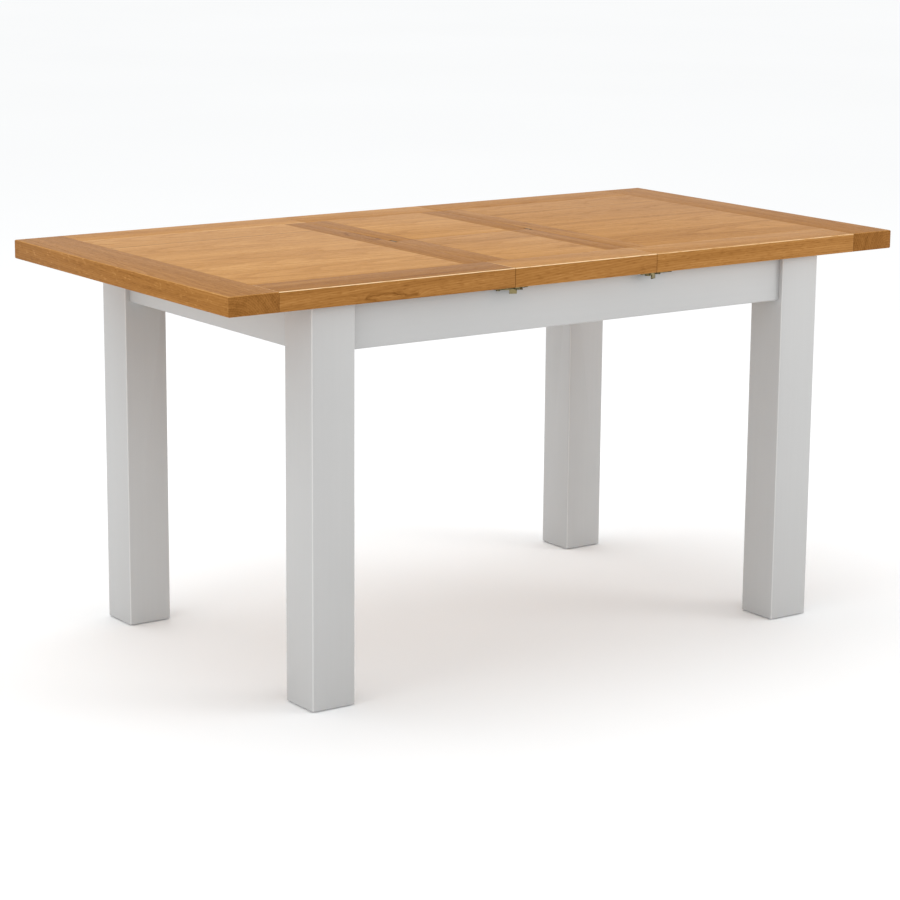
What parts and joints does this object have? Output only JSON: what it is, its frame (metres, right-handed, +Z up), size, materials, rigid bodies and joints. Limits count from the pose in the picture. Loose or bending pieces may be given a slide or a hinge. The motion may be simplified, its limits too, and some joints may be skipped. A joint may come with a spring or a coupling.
{
  "type": "extending dining table",
  "caption": "Rectangular extending dining table with painted square legs and aprons, oak top halves on wooden slides and a folding oak leaf between them.",
  "frame": {"origin": "on the floor under the middle of the tabletop, with the leaf in place", "axes": "+X along the length towards the right half, +Y towards the back, +Z up"},
  "size_m": [1.53, 0.8, 0.77],
  "materials": {
    "oak": "satin lacquered oak, natural",
    "painted_wood": "satin paint, pale warm grey",
    "inner_wood": "plain beech, unfinished",
    "steel": "zinc plated",
    "brass": "antique brass, slightly dulled",
    "nylon": "dark grey nylon"
  },
  "bodies": {
    "root": {"leg_front_left": "painted_wood", "leg_front_right": "painted_wood", "leg_back_left": "painted_wood", "leg_back_right": "painted_wood", "front_apron": "painted_wood", "back_apron": "painted_wood", "left_apron": "painted_wood", "right_apron": "painted_wood", "corner_blocks": "inner_wood", "leg_bolts": "steel", "leg_nuts": "steel", "floor_glides": "nylon", "left_cross_rail": "inner_wood", "right_cross_rail": "inner_wood", "cross_rail_dowels": "inner_wood", "front_fixed_slide": "inner_wood", "back_fixed_slide": "inner_wood", "frame_screws": "steel", "leaf_rest_pads": "nylon", "stow_brackets": "steel", "stow_arms": "steel", "stow_pins": "steel", "front_leaf_rail": "oak", "front_leaf_strips": "oak", "front_leaf_panel": "oak", "front_hinge_plates": "brass", "front_keepers": "brass", "front_leaf_screws": "steel"},
    "left_top": {"left_end_board": "oak", "left_front_rail": "oak", "left_back_rail": "oak", "left_strip": "oak", "left_panel": "oak", "left_front_slide": "inner_wood", "left_back_slide": "inner_wood", "left_top_screws": "steel", "left_pegs": "inner_wood", "left_catch_plates": "brass"},
    "right_top": {"right_end_board": "oak", "right_front_rail": "oak", "right_back_rail": "oak", "right_strip": "oak", "right_panel": "oak", "right_front_slide": "inner_wood", "right_back_slide": "inner_wood", "right_top_screws": "steel", "right_pegs": "inner_wood", "right_catch_plates": "brass"},
    "hinge_links": {"hinge_links": "brass", "hinge_pins": "steel"},
    "leaf_back": {"back_leaf_rail": "oak", "back_leaf_strips": "oak", "back_leaf_panel": "oak", "back_hinge_plates": "brass", "back_keepers": "brass", "back_leaf_screws": "steel"},
    "front_left_lever": {"front_left_lever": "brass"},
    "back_left_lever": {"back_left_lever": "brass"},
    "front_right_lever": {"front_right_lever": "brass"},
    "back_right_lever": {"back_right_lever": "brass"}
  },
  "joints": [
    {"name": "left_top_slide", "type": "slide", "parent": "root", "child": "left_top", "axis": [-1, 0, 0], "range_m": [0, 0.04]},
    {"name": "right_top_slide", "type": "slide", "parent": "root", "child": "right_top", "axis": [1, 0, 0], "range_m": [0, 0.04]},
    {"name": "link_pivot", "type": "hinge", "parent": "root", "child": "hinge_links", "pos_m": [0, -0.006, 0.768], "axis": [1, 0, 0], "range_deg": [0, 90]},
    {"name": "leaf_fold", "type": "hinge", "parent": "hinge_links", "child": "leaf_back", "pos_m": [0, 0.006, 0.768], "axis": [1, 0, 0], "range_deg": [0, 90]},
    {"name": "front_left_lever_swing", "type": "hinge", "parent": "left_top", "child": "front_left_lever", "pos_m": [-0.187, -0.3775, 0.73], "axis": [0, 0, 1], "range_deg": [0, 22]},
    {"name": "back_left_lever_swing", "type": "hinge", "parent": "left_top", "child": "back_left_lever", "pos_m": [-0.187, 0.3775, 0.73], "axis": [0, 0, -1], "range_deg": [0, 22]},
    {"name": "front_right_lever_swing", "type": "hinge", "parent": "right_top", "child": "front_right_lever", "pos_m": [0.187, -0.3775, 0.73], "axis": [0, 0, -1], "range_deg": [0, 22]},
    {"name": "back_right_lever_swing", "type": "hinge", "parent": "right_top", "child": "back_right_lever", "pos_m": [0.187, 0.3775, 0.73], "axis": [0, 0, 1], "range_deg": [0, 22]}
  ]
}
